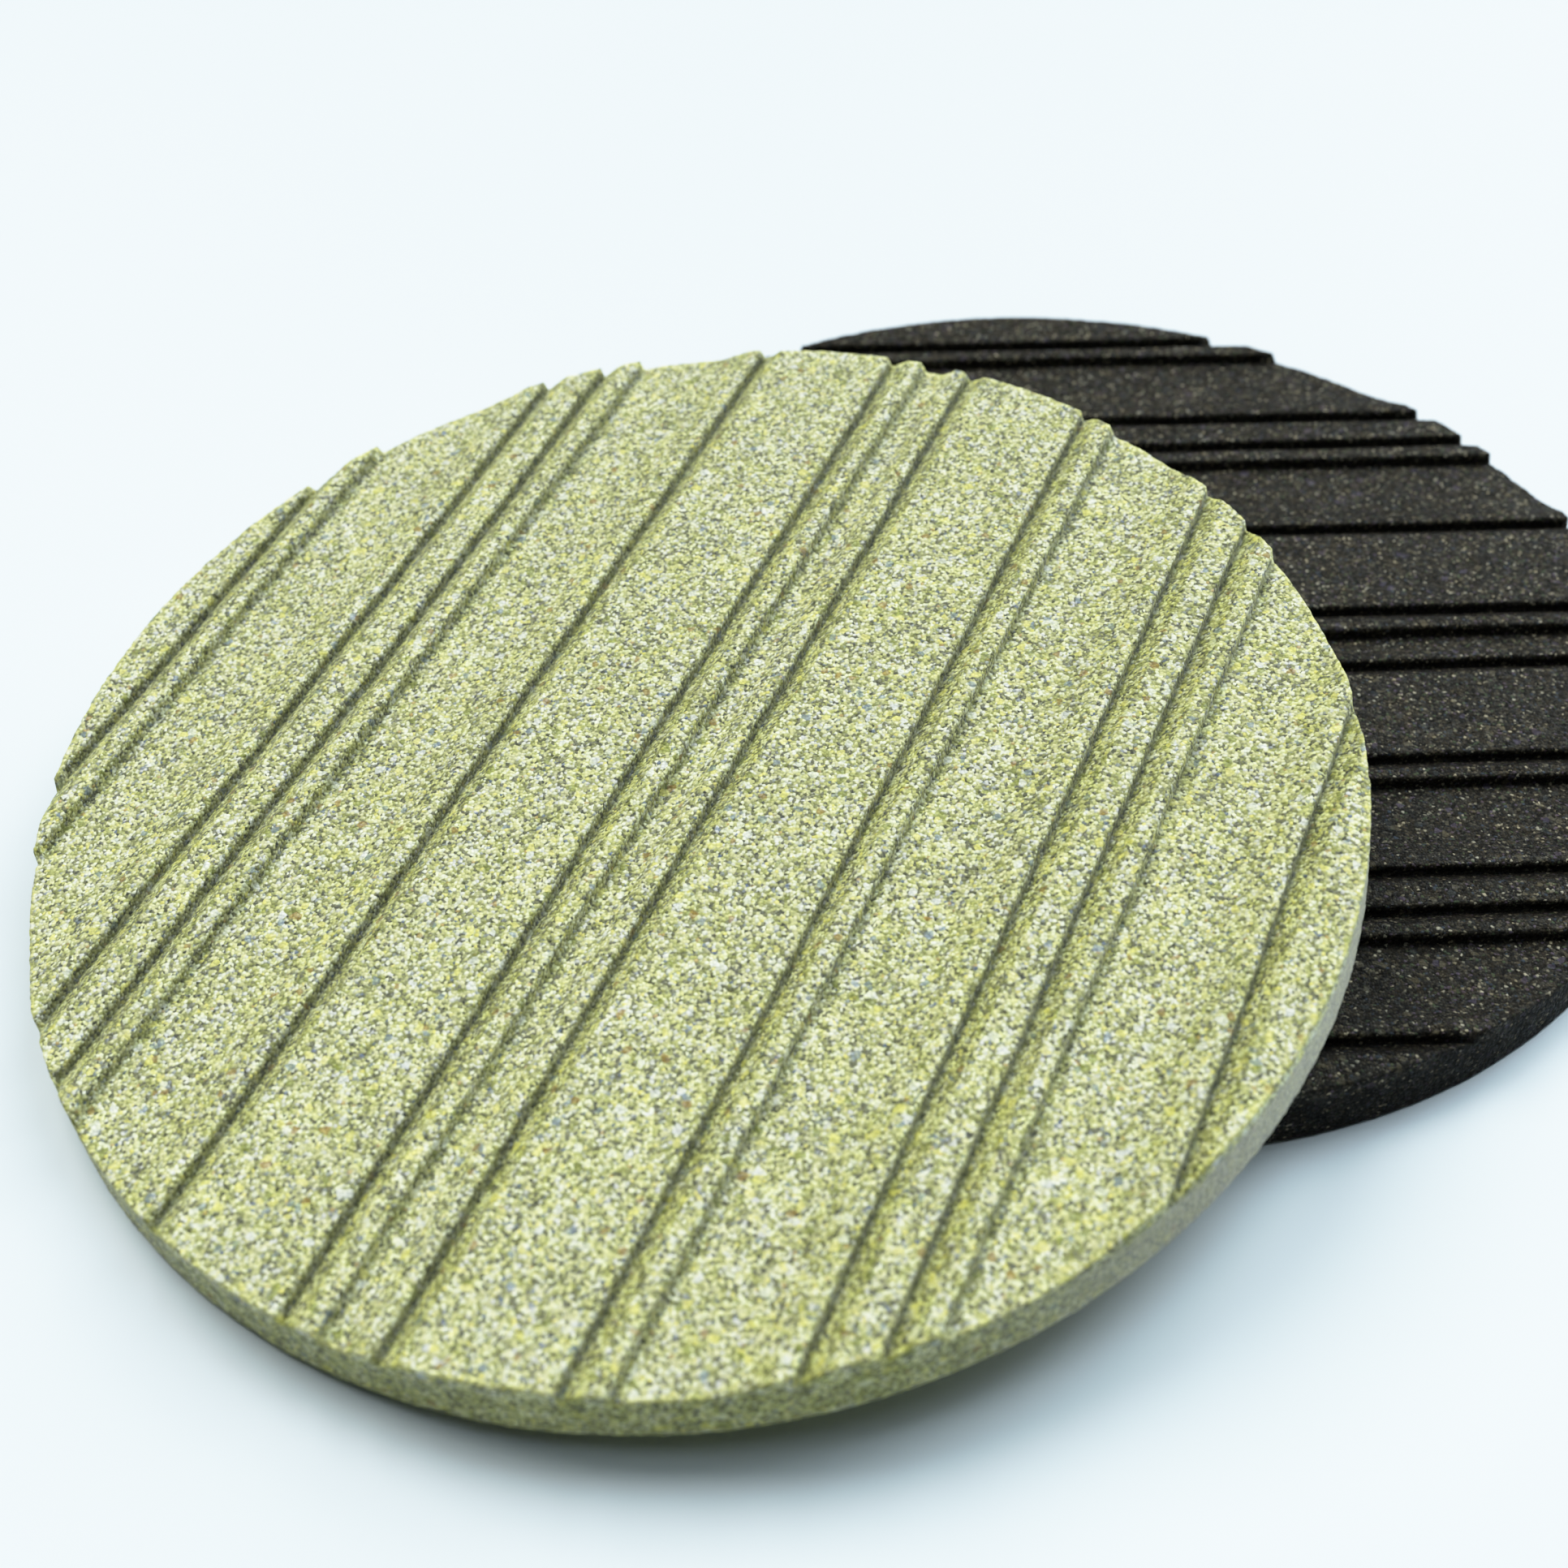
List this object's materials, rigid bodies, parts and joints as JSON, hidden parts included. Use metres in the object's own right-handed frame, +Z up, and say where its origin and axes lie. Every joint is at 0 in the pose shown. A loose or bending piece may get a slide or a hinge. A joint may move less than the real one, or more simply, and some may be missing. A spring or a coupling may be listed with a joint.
{
  "type": "sharpening whetstone set",
  "caption": "Round flat whetstones with straight stepped ribs across the upper face, a coarse olive stone leaning on the rim of a fine black one and lifting off.",
  "frame": {"origin": "centre of the lower stone's resting face", "axes": "+Z up out of the ribbed faces, -Y the front that the picture looks at, +X to the right"},
  "size_m": [0.1311, 0.1221, 0.0179],
  "materials": {
    "black_grit": "rough bonded fine grit, near black with pale specks",
    "green_grit": "rough bonded coarse grit, olive with cream, grey and blue grains"
  },
  "bodies": {
    "black_stone": {"black_stone": "black_grit"},
    "green_stone": {"green_stone": "green_grit"}
  },
  "joints": [
    {"name": "lift_off", "type": "slide", "parent": "black_stone", "child": "green_stone", "axis": [0, 0, 1], "range_m": [0, 0.04]}
  ]
}
